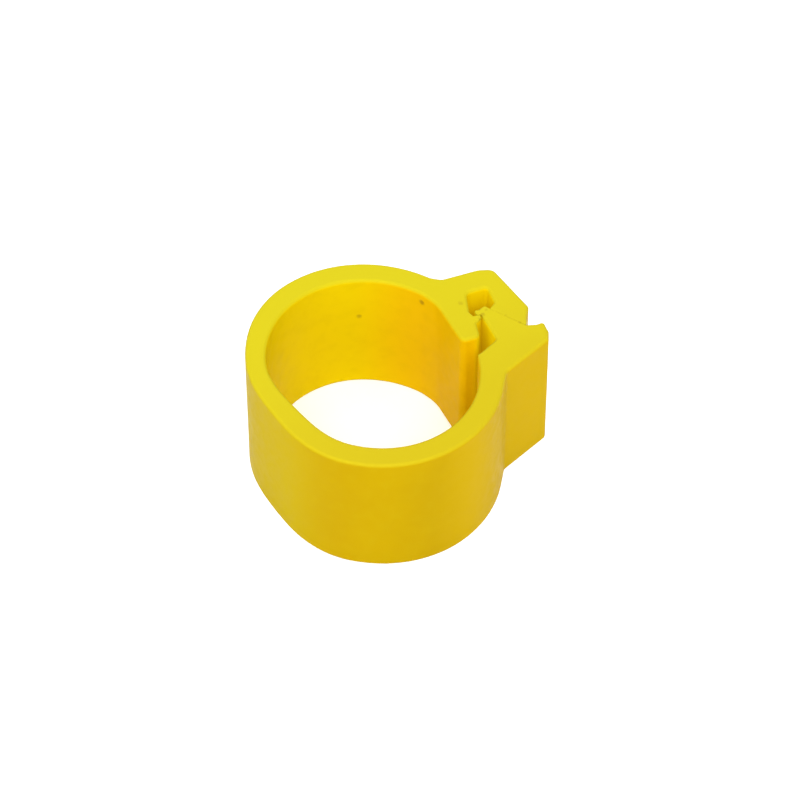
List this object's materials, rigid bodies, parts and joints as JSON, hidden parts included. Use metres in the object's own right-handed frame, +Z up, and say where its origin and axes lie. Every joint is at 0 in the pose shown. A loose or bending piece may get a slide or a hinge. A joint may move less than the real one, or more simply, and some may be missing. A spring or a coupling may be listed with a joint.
{
  "type": "leg band",
  "caption": "Clip-on plastic leg ring for small poultry: an oval band on two flexing leaves, closed by a hook finger in a claw with a toe, a lip and a catch nib.",
  "frame": {"origin": "centre of the leg passage, on the plane of the lower rim", "axes": "+X from the leg passage through the clasp, +Y towards the rear arm that carries the claw, +Z up along the leg"},
  "size_m": [0.0114, 0.0104, 0.0058],
  "materials": {
    "band": "satin moulded plastic, bright yellow, slightly translucent"
  },
  "bodies": {
    "spine": {"flex_wall": "band"},
    "rear_arm": {"rear_flex_leaf": "band", "rear_band": "band", "claw_head": "band", "inner_toe": "band", "catch_nib": "band"},
    "lip": {"latch_lip": "band"},
    "front_arm": {"front_flex_leaf": "band", "front_band": "band", "front_jaw": "band", "hook_finger": "band", "hook_barb": "band", "thumb_nose": "band"}
  },
  "joints": [
    {"name": "rear_arm_flex", "type": "hinge", "parent": "spine", "child": "rear_arm", "pos_m": [-0.00386, 0.00218, 0], "axis": [0, 0, 1], "range_deg": [0, 25], "stiffness_Nm_per_rad": 0.06, "deforming": ["catch_nib"]},
    {"name": "front_arm_flex", "type": "hinge", "parent": "spine", "child": "front_arm", "pos_m": [-0.00343, -0.00254, 0], "axis": [0, 0, -1], "range_deg": [0, 25], "stiffness_Nm_per_rad": 0.06, "deforming": ["catch_nib"]},
    {"name": "lip_flex", "type": "hinge", "parent": "rear_arm", "child": "lip", "pos_m": [0.0059, 0.00145, 0], "axis": [0, 0, 1], "range_deg": [0, 8], "stiffness_Nm_per_rad": 0.05}
  ]
}
